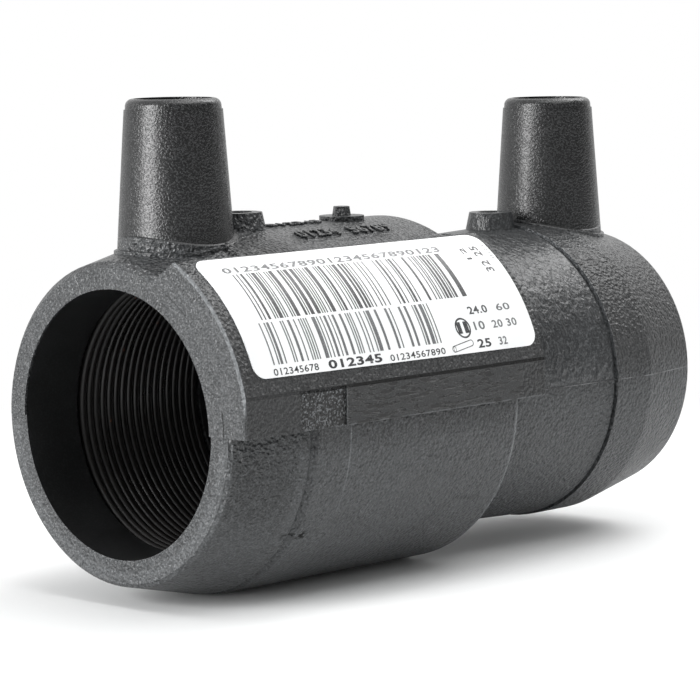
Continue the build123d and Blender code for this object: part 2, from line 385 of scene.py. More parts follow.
class FinishPainter(Tree):
    """A material's node tree with its Principled shader and the shared groups at hand."""

    def __init__(self, name: str, kit: ShaderKit) -> None:
        """Start an empty material with one Principled shader."""
        self.material = bpy.data.materials.new(name)
        self.material.use_nodes = True
        super().__init__(self.material.node_tree)
        self.tree.nodes.clear()
        self.kit = kit
        self.shader = self.node("ShaderNodeBsdfPrincipled")
        self.out = self.node("ShaderNodeOutputMaterial", None, {"Surface": self.shader.outputs[0]})
        self.place = self.node("ShaderNodeTexCoord").outputs["Object"]

    def group(self, tree: NodeTree, inputs: dict) -> Node:
        """Place one of the shared groups."""
        node = self.tree.nodes.new("ShaderNodeGroup")
        node.node_tree = tree
        for key, value in inputs.items():
            self.feed(node, key, value)
        return node

    def band(self, value: object, low: float, high: float, soft: float) -> Socket:
        """Place a band mask and give it."""
        inputs = {"Value": value, "From": low, "To": high, "Softness": soft}
        return self.group(self.kit.band, inputs).outputs[0]

    def joined_by(self, operation: str, masks: tuple) -> Socket:
        """Join masks pair by pair; a mask given as (value, low, high, soft) is a band."""
        sockets = [self.band(*mask) if isinstance(mask, tuple) else mask for mask in masks]
        result = sockets[0]
        for mask in sockets[1:]:
            result = self.math(operation, result, mask)
        return result

    def all_of(self, *masks: object) -> Socket:
        """Multiply masks together."""
        return self.joined_by("MULTIPLY", masks)

    def any_of(self, *masks: object) -> Socket:
        """Take the strongest of several masks."""
        return self.joined_by("MAXIMUM", masks)

    def grain(self, grain_size: float, cloud_size: float, seed: float = 0.0) -> dict:
        """Place the moulded grain, with its sizes in millimetres, and give its outputs."""
        inputs = {
            "Vector": self.place, "Grain Size": grain_size, "Cloud Size": cloud_size, "Seed": seed
        }
        return self.group(self.kit.grain, inputs).outputs

    def distance_to(self, spot: tuple) -> Socket:
        """Give the distance to a point of the object, in metres."""
        inputs = {0: self.place, 1: spot}
        return self.node("ShaderNodeVectorMath", {"operation": "DISTANCE"}, inputs).outputs["Value"]

    def bump(self, height: object, distance: float) -> None:
        """Feed a height to the shader's normal, scaled by a distance in metres."""
        inputs = {"Height": height, "Distance": distance, "Strength": 1.0}
        node = self.node("ShaderNodeBump", None, inputs)
        self.feed(self.shader, "Normal", node.outputs[0])


# ---- Finishes ----------------------------------------------------------------------------

@dataclass(frozen=True)
class MouldedPolyethylene:
    """Matt black pipe-grade polyethylene as it leaves the mould, with the zones of its surface and the
    light and shade painted into its colour.
    """

    kit: ShaderKit
    black: tuple = (0.012, 0.0128, 0.0136, 1.0)
    grey: tuple = (0.132, 0.139, 0.145, 1.0)
    # near-black that marks, grain and painted shade go towards
    soot: tuple = (0.004, 0.004, 0.004, 1.0)
    roughness: float = 0.4
    near_shroud_x: float = 10.6
    pad_length: float = 52.2

    def shroud_zone(self, paint: FinishPainter, about: dict) -> Socket:
        """The two upright shrouds, which come out of a smoother part of the mould."""
        along, radius = about["Along"], about["Radius"]
        near = paint.all_of((along, 3.0, 17.3, 0.2), (radius, 22.05, 60.0, 0.1))
        far = paint.all_of((along, 72.0, 87.0, 0.2), (radius, 19.6, 60.0, 0.1))
        return paint.all_of(
            paint.any_of(near, far),
            (about["Side"], -7.6, 7.6, 0.1),
            (about["Height"], 15.0, 60.0, 0.5),
        )

    def label_side(self, paint: FinishPainter, about: dict) -> Socket:
        """The flat upright side below the label pad."""
        return paint.band(about["Side"], -22.2, -21.8, 0.03)

    def stain(self, paint: FinishPainter, about: dict) -> Socket:
        """A faint bent mark low on the front of the barrel.

        Args:
            paint: The material being built.
            about: Cylinder coordinates about the pipe axis.

        Returns:
            Its mask.
        """
        along = about["Along"]
        rise = paint.math(
            "MULTIPLY", paint.math("MAXIMUM", paint.math("SUBTRACT", along, 38.9), 0.0), 0.385
        )
        fall = paint.math(
            "MULTIPLY", paint.math("MAXIMUM", paint.math("SUBTRACT", 38.9, along), 0.0), 2.54
        )
        course = paint.math("SUBTRACT", -32.0, paint.math("ADD", rise, fall))
        off = paint.math("ABSOLUTE", paint.math("SUBTRACT", about["Angle"], course))
        return paint.all_of(
            paint.ramp(off, 1.7, 0.3), (along, 32.5, 43.8, 0.8), (about["Radius"], 21.5, 22.1, 0.1)
        )

    def zones(self, paint: FinishPainter, about: dict) -> dict:
        """Work out the masks of the moulding's zones, with painted shade in the bore and on the upper
        front, painted light on the lower half and a painted sheen on the near shroud.

        Args:
            paint: The material being built.
            about: Cylinder coordinates about the pipe axis.

        Returns:
            Masks by name.
        """
        along, radius, angle = about["Along"], about["Radius"], about["Angle"]
        side, high = about["Side"], about["Height"]
        outside = paint.band(radius, 17.4, 60.0, 0.1)
        mouth = paint.any_of((along, -1.0, 0.33, 0.02), (along, 87.4, 90.0, 0.03))
        label_side = self.label_side(paint, about)
        upright = paint.all_of(
            label_side, (high, 0.02, 4.7, 0.06), (along, 0.3, self.pad_length, 0.05)
        )
        lower = paint.band(high, -30.0, 0.0, 0.03)
        front = paint.band(side, -30.0, -4.0, 2.0)
        smooth_side = paint.math("SUBTRACT", 1.0, paint.all_of(upright, (along, 9.0, 16.7, 0.08)))
        # painted shade: the smooth upper front of both tubes is coloured darker
        near_flank = paint.all_of((high, 0.0, 15.0, 0.5), (along, 0.4, 52.3, 0.05))
        far_flank = paint.all_of((high, 2.0, 16.0, 2.0), (along, 69.8, 86.6, 0.2))
        masks = {
            "mouth": mouth,
            # painted shade: the bore is coloured darker than the outside
            "bore": paint.all_of((radius, 0.0, 16.25, 0.02), (along, 0.35, 87.2, 0.05)),
            "upright": upright,
            "recess": paint.all_of(upright, (along, 9.0, 16.7, 0.08)),
            "torn": paint.all_of(upright, (along, 16.8, 48.0, 0.5)),
            "cone": paint.all_of(lower, (along, 0.9, 9.5, 0.6), (high, -11.0, 0.0, 4.0), outside),
            "below": paint.all_of(lower, (along, 9.5, 47.2, 0.8), (high, -2.6, 0.0, 1.6), front),
            "tube": paint.all_of((along, 52.4, 69.3, 0.2), (high, 0.1, 30.0, 0.1), outside),
            "crest": paint.all_of((along, 12.0, 21.0, 2.0), (angle, 60.0, 76.0, 3.0), outside),
            "shroud": self.shroud_zone(paint, about),
            # painted light: the lower half of the outside is coloured lighter
            "under": paint.all_of(outside, paint.ramp(high, 1.5, -2.5)),
            "flank": paint.all_of(outside, front, paint.any_of(near_flank, far_flank), smooth_side),
        }
        # painted sheen: a streaky lighter patch on the front right of the near shroud
        smear = paint.band(along, self.near_shroud_x + 1.0, 17.6, 1.0)
        masks["smear"] = paint.all_of(smear, (side, -6.0, 0.5, 1.0), (high, 28.0, 35.6, 1.4))
        return masks

    def lines(self, paint: FinishPainter, about: dict) -> dict:
        """Work out the masks of thin lines and small marks, several of them painted highlights and a
        painted reflection along edges.

        Args:
            paint: The material being built.
            about: Cylinder coordinates about the pipe axis.

        Returns:
            Masks by name.
        """
        along, radius, angle = about["Along"], about["Radius"], about["Angle"]
        side, high = about["Side"], about["Height"]
        near = paint.band(along, -0.1, 0.3, 0.02)
        seam = paint.all_of(near, (radius, 18.47, 18.6, 0.03))
        seam_runs = paint.any_of(
            (angle, -0.5, 9.5, 0.6), paint.math("MULTIPLY", paint.band(angle, 44.0, 64.0, 4.0), 0.6)
        )
        pad_root = paint.all_of((high, 4.4, 4.82, 0.05), (side, -22.2, -21.3, 0.05))
        label_side = self.label_side(paint, about)
        # painted highlights: a thin line along the parting line under the pad, and one up the edge of
        # the recess
        lip = paint.all_of(label_side, (high, -0.04, 0.14, 0.03), (along, 9.0, 52.3, 0.1))
        post = paint.all_of(label_side, (high, 0.0, 4.5, 0.1), (along, 16.7, 16.88, 0.04))
        # painted reflection on the lower part of the barrel end's fillet
        crescent = paint.all_of(
            (along, 46.9, 48.1, 0.3), (radius, 20.6, 21.95, 0.1), paint.ramp(high, 1.0, -2.0)
        )
        dot = paint.distance_to((0.0383, -0.0155, -0.0155))
        strength = paint.blend(paint.ramp(along, 14.0, 19.0), 0.55, 1.0)
        # painted highlight along a fine ridge on the lower barrel, fading towards the bottom
        ring = paint.all_of((along, 17.42, 17.62, 0.05), (radius, 21.5, 22.1, 0.05))
        ring_fade = paint.ramp(high, -15.0, -3.0)
        lower = paint.band(high, -30.0, 0.0, 0.02)
        # a small dark spot on the top of the far tube
        spot = paint.distance_to((0.0622, -0.0047, 0.018))
        # painted highlight along the upper side of the far collar's groove
        collar = paint.all_of(
            (along, 69.25, 69.75, 0.05), paint.ramp(high, -3.0, 9.0), (radius, 18.0, 20.0, 0.1)
        )
        flecks = paint.node(
            "ShaderNodeTexWhiteNoise",
            None,
            {
                "Vector": paint.node(
                    "ShaderNodeVectorMath",
                    {"operation": "SNAP"},
                    {0: paint.place, 1: (0.0004, 0.0004, 0.0004)},
                ).outputs[0]
            },
        ).outputs["Value"]
        scuff = paint.all_of(
            (along, 10.2, 14.0, 0.3),
            (high, -13.4, -12.6, 0.25),
            (side, -18.6, -16.8, 0.2),
            paint.ramp(flecks, 0.45, 0.55),
        )
        return {
            "seam": paint.all_of(seam, seam_runs),
            "root": paint.all_of(pad_root, strength, (along, 0.3, self.pad_length, 0.1)),
            "ring": paint.all_of(ring, ring_fade, lower),
            "collar": collar,
            "lip": paint.any_of(lip, post),
            "crescent": crescent,
            "dot": paint.ramp(dot, 0.00035, 0.00015),
            "pit": paint.ramp(spot, 0.0007, 0.0003),
            "scuff": scuff,
            # painted highlight along the pad's outer edge at the near end face
            "brow": paint.all_of(
                (along, -0.1, 0.24, 0.03), (radius, 22.18, 22.8, 0.05), (high, 0.0, 21.0, 0.5)
            ),
        }

    def lightness(
        self, paint: FinishPainter, grain: dict, flow: object, zone: dict, line: dict, coarse: object
    ) -> Socket:
        """Add up what makes the moulding lighter: grain, tone and marks, and painted light, highlights,
        sheen and a reflection.

        Args:
            paint: The material being built.
            grain: Outputs of the moulded grain.
            flow: The drawn-out noise of the torn side and the far tube.
            zone: Masks of the zones.
            line: Masks of the thin lines.
            coarse: Mask of the coarsely grained zones.

        Returns:
            How far the colour goes from black to grey.
        """
        bright_grain = paint.all_of(zone["recess"], paint.ramp(grain["Speckle"], 0.4, 0.8))
        smeared = paint.all_of(zone["smear"], paint.ramp(flow, 0.5, 0.62))
        terms = (
            (grain["Cloud"], 0.07),
            (zone["mouth"], 0.06),
            # painted light on the lower half
            (zone["under"], 0.14),
            # painted highlights along the far collar's groove, a low ridge, the pad's near edge and the
            # parting line
            (line["collar"], 0.6),
            (line["ring"], 0.6),
            (line["brow"], 0.9),
            (line["lip"], 0.6),
            # painted sheen: the upper far tube is coloured slightly lighter
            (zone["tube"], 0.03),
            # painted reflection on the barrel end's fillet
            (line["crescent"], 0.75),
            (line["dot"], 1.0),
            (bright_grain, 0.9),
            (smeared, 0.5),
        )
        light = paint.math("MULTIPLY", grain["Speckle"], paint.blend(zone["mouth"], 0.36, 0.42))
        for mask, amount in terms:
            light = paint.math("ADD", light, paint.math("MULTIPLY", mask, amount))
        return paint.math("SUBTRACT", light, paint.math("MULTIPLY", coarse, 0.1), clamp=True)

    def darkness(
        self, paint: FinishPainter, about: dict, grain: dict, flow: object, zone: dict, line: dict
    ) -> Socket:
        """Take the strongest of what makes the moulding darker: marks, grain and the shrouds' tone, and
        painted shade in the bore and on the upper front.

        Args:
            paint: The material being built.
            about: Cylinder coordinates about the pipe axis.
            grain: Outputs of the moulded grain.
            flow: The drawn-out noise of the torn side and the far tube.
            zone: Masks of the zones.
            line: Masks of the thin lines.

        Returns:
            How far the colour goes to the near-black of marks and painted shade.
        """
        dark_grain = paint.all_of(zone["recess"], paint.ramp(grain["Speckle"], 0.6, 0.3))
        torn = paint.all_of(zone["torn"], paint.ramp(flow, 0.48, 0.42))
        terms = (
            # painted shade in the bore and on the upper front; the rest are marks, grain and the
            # shrouds' darker tone
            (zone["bore"], 0.75),
            (zone["shroud"], 0.7),
            (dark_grain, 0.8),
            (zone["flank"], 0.45),
            (torn, 0.95),
            (self.stain(paint, about), 0.35),
        )
        dark = paint.any_of(line["seam"], line["root"], line["pit"], line["scuff"])
        for mask, amount in terms:
            dark = paint.math("MAXIMUM", dark, paint.math("MULTIPLY", mask, amount))
        return dark

    def material(self) -> Material:
        """Build the finish with its zones along and round the axis.

        Returns:
            The material.
        """
        paint = FinishPainter("moulded polyethylene", self.kit)
        about = paint.group(self.kit.around, {"Vector": paint.place}).outputs
        zone = self.zones(paint, about)
        line = self.lines(paint, about)
        grain = paint.grain(0.55, 8.0)
        stretch = paint.node(
            "ShaderNodeMix",
            {"data_type": "VECTOR"},
            {0: zone["tube"], 4: (470.0, 900.0, 1950.0), 5: (1250.0, 900.0, 800.0)},
        ).outputs[1]
        flow_place = paint.node(
            "ShaderNodeVectorMath", {"operation": "MULTIPLY"}, {0: paint.place, 1: stretch}
        ).outputs[0]
        flow = paint.node(
            "ShaderNodeTexNoise",
            None,
            {
                "Vector": flow_place,
                "Scale": 1.0,
                "Detail": 2.0,
                "Roughness": 0.6,
                "Distortion": 0.25,
            },
        ).outputs[0]
        coarse = paint.any_of(zone["recess"], zone["cone"], zone["below"], zone["crest"])
        light = self.lightness(paint, grain, flow, zone, line, coarse)
        dark = self.darkness(paint, about, grain, flow, zone, line)
        colour = paint.mix(light, self.black, self.grey)
        paint.feed(paint.shader, "Base Color", paint.mix(dark, colour, self.soot))
        rough = paint.blend(grain["Cloud"], self.roughness, self.roughness + 0.08)
        rough = paint.blend(paint.ramp(about["Height"], 10.0, 19.0), rough, 0.3)
        rough = paint.blend(zone["shroud"], rough, 0.27)
        rough = paint.blend(zone["tube"], rough, 0.34)
        rough = paint.blend(paint.any_of(line["root"], line["scuff"], line["seam"]), rough, 1.0)
        paint.feed(paint.shader, "Roughness", rough)
        depth = paint.blend(coarse, 4.5, 9.0)
        depth = paint.blend(zone["mouth"], depth, 5.0)
        depth = paint.blend(zone["bore"], depth, 0.05)
        relief = paint.math("MULTIPLY", grain["Height"], depth)
        relief = paint.blend(zone["shroud"], relief, paint.math("MULTIPLY", grain["Speckle"], 0.26))
        relief = paint.blend(
            zone["torn"], relief, paint.math("MULTIPLY", paint.ramp(flow, 0.4, 0.52), 3.4)
        )
        relief = paint.blend(zone["tube"], relief, paint.math("MULTIPLY", flow, 3.4))
        cut = paint.math(
            "MAXIMUM",
            paint.math("MULTIPLY", line["root"], 6.0),
            paint.math("MULTIPLY", line["scuff"], 3.0),
        )
        relief = paint.math("SUBTRACT", relief, cut)
        paint.bump(relief, 0.0001)
        return paint.material


@dataclass(frozen=True)
class PartingFlash:
    """The thin lip that the mould leaves along its parting line, coloured lighter than the moulding as a
    painted highlight.
    """

    kit: ShaderKit
    # painted highlight: the ridge's lighter grey, mixed with a darker tone by a cloud
    light: tuple = (0.16, 0.165, 0.17, 1.0)
    dark: tuple = (0.04, 0.04, 0.042, 1.0)

    def material(self) -> Material:
        """Build the finish."""
        paint = FinishPainter("parting flash", self.kit)
        grain = paint.grain(0.5, 3.0, 4.0)
        paint.feed(paint.shader, "Base Color", paint.mix(grain["Cloud"], self.light, self.dark))
        paint.feed(paint.shader, "Roughness", paint.blend(grain["Speckle"], 0.4, 0.55))
        paint.bump(grain["Height"], 0.00003)
        return paint.material


@dataclass(frozen=True)
class WireCover:
    """Glossy black cover of the heating wire, duller on the outermost turns, with rare copper glints."""

    kit: ShaderKit
    black: tuple = (0.005, 0.0042, 0.004, 1.0)
    copper: tuple = (0.12, 0.04, 0.02, 1.0)
    roughness: float = 0.27
    dull_until: float = 12.1

    def material(self) -> Material:
        """Build the finish."""
        paint = FinishPainter("wire cover", self.kit)
        about = paint.group(self.kit.around, {"Vector": paint.place}).outputs
        grain = paint.grain(0.5, 5.0, 3.0)
        glint = paint.node(
            "ShaderNodeTexNoise", None, {"Vector": paint.place, "Scale": 900.0, "Detail": 2.0}
        ).outputs[0]
        glint = paint.all_of(paint.ramp(glint, 0.72, 0.78), grain["Cloud"])
        paint.feed(paint.shader, "Base Color", paint.mix(glint, self.black, self.copper))
        dull = paint.band(about["Along"], 0.0, self.dull_until, 0.3)
        rough = paint.blend(grain["Cloud"], self.roughness, self.roughness + 0.12)
        paint.feed(paint.shader, "Roughness", paint.blend(dull, rough, 0.5))
        paint.bump(grain["Height"], 0.00002)
        return paint.material


@dataclass(frozen=True)
class LabelFilm:
    """White coated label film with faint unevenness."""

    kit: ShaderKit
    white: tuple = (0.86, 0.87, 0.87, 1.0)
    shade: tuple = (0.78, 0.79, 0.80, 1.0)
    roughness: float = 0.32

    def material(self) -> Material:
        """Build the finish."""
        paint = FinishPainter("label film", self.kit)
        grain = paint.grain(0.5, 12.0, 9.0)
        paint.feed(paint.shader, "Base Color", paint.mix(grain["Cloud"], self.white, self.shade))
        paint.feed(
            paint.shader,
            "Roughness",
            paint.blend(grain["Speckle"], self.roughness, self.roughness + 0.08),
        )
        paint.bump(grain["Height"], 0.000006)
        return paint.material


@dataclass(frozen=True)
class PrintedInk:
    """Thin ribbon-printed ink that breaks up a little at its grain."""

    kit: ShaderKit
    name: str = "printed ink"
    dark: tuple = (0.014, 0.014, 0.015, 1.0)
    worn: tuple = (0.20, 0.20, 0.21, 1.0)
    roughness: float = 0.4

    def material(self) -> Material:
        """Build the finish."""
        paint = FinishPainter(self.name, self.kit)
        grain = paint.grain(0.25, 9.0, 5.0)
        amount = paint.math("MULTIPLY", grain["Speckle"], 0.6)
        paint.feed(paint.shader, "Base Color", paint.mix(amount, self.dark, self.worn))
        paint.feed(
            paint.shader,
            "Roughness",
            paint.blend(grain["Cloud"], self.roughness, self.roughness + 0.1),
        )
        paint.bump(grain["Height"], 0.000004)
        return paint.material


@dataclass(frozen=True)
class TurnedBrass:
    """Turned brass of the contact pins, slightly dulled."""

    kit: ShaderKit
    bright: tuple = (0.78, 0.57, 0.27, 1.0)
    dull: tuple = (0.42, 0.29, 0.13, 1.0)

    def material(self) -> Material:
        """Build the finish, with turning lines round the upright axis.

        Returns:
            The material.
        """
        paint = FinishPainter("turned brass", self.kit)
        grain = paint.grain(0.3, 2.5, 7.0)
        lines_place = paint.node(
            "ShaderNodeMapping", None, {"Vector": paint.place, "Scale": (120.0, 120.0, 9000.0)}
        ).outputs[0]
        lines = paint.node(
            "ShaderNodeTexNoise", None, {"Vector": lines_place, "Scale": 1.0, "Detail": 2.0}
        ).outputs[0]
        paint.feed(paint.shader, "Base Color", paint.mix(grain["Cloud"], self.bright, self.dull))
        paint.shader.inputs["Metallic"].default_value = 1.0
        paint.feed(paint.shader, "Roughness", paint.blend(grain["Cloud"], 0.24, 0.42))
        paint.bump(lines, 0.000008)
        return paint.material


@dataclass(frozen=True)
class PinCap:
    """Smooth black cap of a fusion indicator, a little glossier than the moulding."""

    kit: ShaderKit
    black: tuple = (0.015, 0.015, 0.016, 1.0)
    grey: tuple = (0.05, 0.05, 0.052, 1.0)

    def material(self) -> Material:
        """Build the finish."""
        paint = FinishPainter("indicator cap", self.kit)
        grain = paint.grain(0.25, 1.5, 2.0)
        paint.feed(paint.shader, "Base Color", paint.mix(grain["Speckle"], self.black, self.grey))
        paint.feed(paint.shader, "Roughness", paint.blend(grain["Cloud"], 0.32, 0.45))
        paint.bump(grain["Height"], 0.00002)
        return paint.material


# ---- Geometry trees ----------------------------------------------------------------------

class GeometryKit:
    """The geometry trees for what follows a path or wraps round the barrel."""

    def __init__(self) -> None:
        """Build every tree."""
        self.wrap = self.wrap_group()
        self.wrapped = self.wrapped_tree()
        self.bars = self.bars_tree()
        self.wire = self.wire_tree()

    def wrap_group(self) -> NodeTree:
        """Lay flat work round the pipe axis: x stays, y becomes arc length, z becomes height.

        Returns:
            The group.
        """
        group, tree, enter, leave = new_group(
            "wrap round axis",
            "GeometryNodeTree",
            [
                ("Geometry", "NodeSocketGeometry", None),
                ("Radius", "NodeSocketFloat", 0.02),
                ("Start Angle", "NodeSocketFloat", 0.0),
            ],
            [("Geometry", "NodeSocketGeometry")],
        )
        place = tree.node("GeometryNodeInputPosition").outputs[0]
        parts = tree.node("ShaderNodeSeparateXYZ", None, {0: place}).outputs
        radius = enter.outputs["Radius"]
        turn = tree.math("ADD", enter.outputs["Start Angle"], tree.math("DIVIDE", parts[1], radius))
        reach = tree.math("ADD", radius, parts[2])
        side = tree.math("MULTIPLY", tree.math("MULTIPLY", reach, tree.math("COSINE", turn)), -1.0)
        high = tree.math("MULTIPLY", reach, tree.math("SINE", turn))
        spot = tree.node("ShaderNodeCombineXYZ", None, {0: parts[0], 1: side, 2: high}).outputs[0]
        moved = tree.node(
            "GeometryNodeSetPosition",
            None,
            {"Geometry": enter.outputs["Geometry"], "Position": spot},
        )
        tree.feed(leave, "Geometry", moved.outputs[0])
        return group

    def placed_wrap(self, tree: Tree, geometry: object, enter: Node) -> Socket:
        """Place the wrap group in another tree and give its geometry."""
        node = tree.tree.nodes.new("GeometryNodeGroup")
        node.node_tree = self.wrap
        tree.feed(node, "Geometry", geometry)
        tree.feed(node, "Radius", enter.outputs["Radius"])
        tree.feed(node, "Start Angle", enter.outputs["Start Angle"])
        return node.outputs[0]

    def finish_tree(self, tree: Tree, geometry: object, enter: Node, leave: Node) -> None:
        """End a tree in Realize Instances and Set Material."""
        real = tree.node("GeometryNodeRealizeInstances", None, {0: geometry}).outputs[0]
        dressed = tree.node(
            "GeometryNodeSetMaterial",
            None,
            {"Geometry": real, "Material": enter.outputs["Material"]},
        )
        tree.feed(leave, "Geometry", dressed.outputs[0])

    def wrapped_tree(self) -> NodeTree:
        """Wrap the carrier's own flat mesh round the axis.

        Returns:
            The tree.
        """
        group, tree, enter, leave = new_group(
            "flat work on the barrel",
            "GeometryNodeTree",
            [
                ("Geometry", "NodeSocketGeometry", None),
                ("Radius", "NodeSocketFloat", 0.02),
                ("Start Angle", "NodeSocketFloat", 0.0),
                ("Material", "NodeSocketMaterial", None),
            ],
            [("Geometry", "NodeSocketGeometry")],
        )
        self.finish_tree(
            tree, self.placed_wrap(tree, enter.outputs["Geometry"], enter), enter, leave
        )
        return group

    def bars_tree(self) -> NodeTree:
        """A row of printed bars: equal modules, each inked or left bare by a seeded draw.

        Returns:
            The tree.
        """
        group, tree, enter, leave = new_group(
            "row of bars",
            "GeometryNodeTree",
            [
                ("Geometry", "NodeSocketGeometry", None),
                ("Modules", "NodeSocketInt", 100),
                ("Module Width", "NodeSocketFloat", 0.0002),
                ("Start Along", "NodeSocketFloat", 0.0),
                ("Low Edge", "NodeSocketFloat", 0.0),
                ("High Edge", "NodeSocketFloat", 0.007),
                ("Lift", "NodeSocketFloat", 0.00002),
                ("Ink Share", "NodeSocketFloat", 0.45),
                ("Seed", "NodeSocketInt", 1),
                ("Radius", "NodeSocketFloat", 0.02),
                ("Start Angle", "NodeSocketFloat", 0.0),
                ("Material", "NodeSocketMaterial", None),
            ],
            [("Geometry", "NodeSocketGeometry")],
        )
        get = enter.outputs
        tall = tree.math("SUBTRACT", get["High Edge"], get["Low Edge"])
        middle = tree.math("MULTIPLY", tree.math("ADD", get["High Edge"], get["Low Edge"]), 0.5)
        start = tree.node(
            "ShaderNodeCombineXYZ", None, {0: get["Start Along"], 1: middle, 2: get["Lift"]}
        ).outputs[0]
        step = tree.node("ShaderNodeCombineXYZ", None, {0: get["Module Width"]}).outputs[0]
        line = tree.node(
            "GeometryNodeMeshLine",
            None,
            {"Count": get["Modules"], "Start Location": start, "Offset": step},
        ).outputs[0]
        drawn = tree.node(
            "FunctionNodeRandomValue",
            {"data_type": "BOOLEAN"},
            {"Probability": get["Ink Share"], "Seed": get["Seed"]},
        )
        bar = tree.node(
            "GeometryNodeMeshGrid",
            None,
            {"Size X": get["Module Width"], "Size Y": tall, "Vertices X": 2, "Vertices Y": 14},
        ).outputs[0]
        rows = tree.node(
            "GeometryNodeInstanceOnPoints",
            None,
            {"Points": line, "Selection": drawn.outputs[3], "Instance": bar},
        ).outputs[0]
        flat = tree.node("GeometryNodeRealizeInstances", None, {0: rows}).outputs[0]
        self.finish_tree(tree, self.placed_wrap(tree, flat, enter), enter, leave)
        return group

    def wire_tree(self) -> NodeTree:
        """A round bar swept along the carrier curve.

        Returns:
            The tree.
        """
        group, tree, enter, leave = new_group(
            "bar along a path",
            "GeometryNodeTree",
            [
                ("Geometry", "NodeSocketGeometry", None),
                ("Bar Radius", "NodeSocketFloat", 0.0005),
                ("Sides", "NodeSocketInt", 12),
                ("Material", "NodeSocketMaterial", None),
            ],
            [("Geometry", "NodeSocketGeometry")],
        )
        circle = tree.node(
            "GeometryNodeCurvePrimitiveCircle",
            None,
            {"Resolution": enter.outputs["Sides"], "Radius": enter.outputs["Bar Radius"]},
        )
        swept = tree.node(
            "GeometryNodeCurveToMesh",
            None,
            {
                "Curve": enter.outputs["Geometry"],
                "Profile Curve": circle.outputs[0],
                "Fill Caps": True,
            },
        ).outputs[0]
        smooth = tree.node("GeometryNodeSetShadeSmooth", None, {0: swept}).outputs[0]
        self.finish_tree(tree, smooth, enter, leave)
        return group


def poly_curve(name: str, points: list) -> Object:
    """Make a curve object of one straight-segment spline through points in millimetres.

    Args:
        name: The curve's name.
        points: Its points in order.

    Returns:
        The curve object, linked to the scene.
    """
    data = bpy.data.curves.new(name, "CURVE")
    data.dimensions = "3D"
    spline = data.splines.new("POLY")
    spline.points.add(len(points) - 1)
    for slot, point in zip(spline.points, points):
        slot.co = (*(v * MM for v in point), 1.0)
    made = bpy.data.objects.new(name, data)
    bpy.context.scene.collection.objects.link(made)
    return made


# ---- Print and raised figures ------------------------------------------------------------

class InkTone(Enum):
    """How heavily a line of figures is printed."""

    FULL = "full"
    THIN = "thin"


class GlyphTurn(Enum):
    """Which way a line of figures runs on its flat work."""

    LEVEL = 0
    UPWARDS = 90


@dataclass
class FigureLine:
    """One line of plain figures on flat work, in millimetres."""

    figures: str
    left: float
    right: float
    base: float
    height: float
    weight: float = 0.0
    turn: GlyphTurn = GlyphTurn.LEVEL
    depth: float = 0.0
    tone: InkTone = InkTone.FULL

    def flat_mesh(self) -> Mesh:
        """Set the figures in their box: left to right on the base, or turned to run upwards.

        Returns:
            A flat mesh in millimetres, scaled to the box.
        """
        data = bpy.data.curves.new("figures", "FONT")
        data.body = self.figures
        data.size = 1.0
        data.offset = self.weight
        data.extrude = self.depth / 2
        data.resolution_u = 3
        data.space_character = 1.08
        carrier = bpy.data.objects.new("figures", data)
        bpy.context.scene.collection.objects.link(carrier)
        bpy.context.view_layer.update()
        mesh = bpy.data.meshes.new_from_object(
            carrier.evaluated_get(bpy.context.evaluated_depsgraph_get())
        )
        bpy.data.objects.remove(carrier)
        xs = [v.co.x for v in mesh.vertices]
        ys = [v.co.y for v in mesh.vertices]
        wide = max(xs) - min(xs)
        tall = max(ys) - min(ys)
        fit = Matrix.Translation((-min(xs), -min(ys), 0))
        scale = Matrix.Diagonal(((self.right - self.left) / wide, self.height / tall, 1, 1))
        turn = Matrix.Rotation(math.radians(self.turn.value), 4, "Z")
        mesh.transform(Matrix.Translation((self.left, self.base, 0)) @ turn @ scale @ fit)
        return mesh


def joined(name: str, meshes: list[Mesh], lift: float) -> Mesh:
    """Join flat meshes given in millimetres and lift them, as one mesh in metres.

    Args:
        name: The new mesh's name.
        meshes: The flat meshes; they are removed.
        lift: How far they are raised.

    Returns:
        The joined mesh.
    """
    work = bmesh.new()
    for mesh in meshes:
        work.from_mesh(mesh)
        bpy.data.meshes.remove(mesh)
    bmesh.ops.remove_doubles(work, verts=work.verts, dist=1e-5)
    result = bpy.data.meshes.new(name)
    work.to_mesh(result)
    work.free()
    result.transform(Matrix.Scale(MM, 4) @ Matrix.Translation((0, 0, lift)))
    return result


def flat_ring(centre: tuple, outer: tuple, inner: tuple, sides: int = 40) -> Mesh:
    """A flat oval ring, or a disc where the inner half-sizes are zero, in millimetres.

    Args:
        centre: Its middle.
        outer: Outer half-sizes.
        inner: Inner half-sizes.
        sides: How many corners it has.

    Returns:
        The flat mesh.
    """
    points, faces = [], []
    for index in range(sides):
        angle = 2 * math.pi * index / sides
        points.append(
            (centre[0] + outer[0] * math.cos(angle), centre[1] + outer[1] * math.sin(angle), 0)
        )
    if inner[0] > 0:
        for index in range(sides):
            angle = 2 * math.pi * index / sides
            points.append(
                (centre[0] + inner[0] * math.cos(angle), centre[1] + inner[1] * math.sin(angle), 0)
            )
        for index in range(sides):
            after = (index + 1) % sides
            faces.append((index, after, sides + after, sides + index))
    else:
        faces.append(tuple(range(sides)))
    mesh = bpy.data.meshes.new("ring")
    mesh.from_pydata(points, [], faces)
    return mesh


def flat_box(left: float, right: float, low: float, high: float) -> Mesh:
    """A flat rectangle in millimetres."""
    mesh = bpy.data.meshes.new("box")
    mesh.from_pydata(
        [(left, low, 0), (right, low, 0), (right, high, 0), (left, high, 0)], [], [(0, 1, 2, 3)]
    )
    return mesh


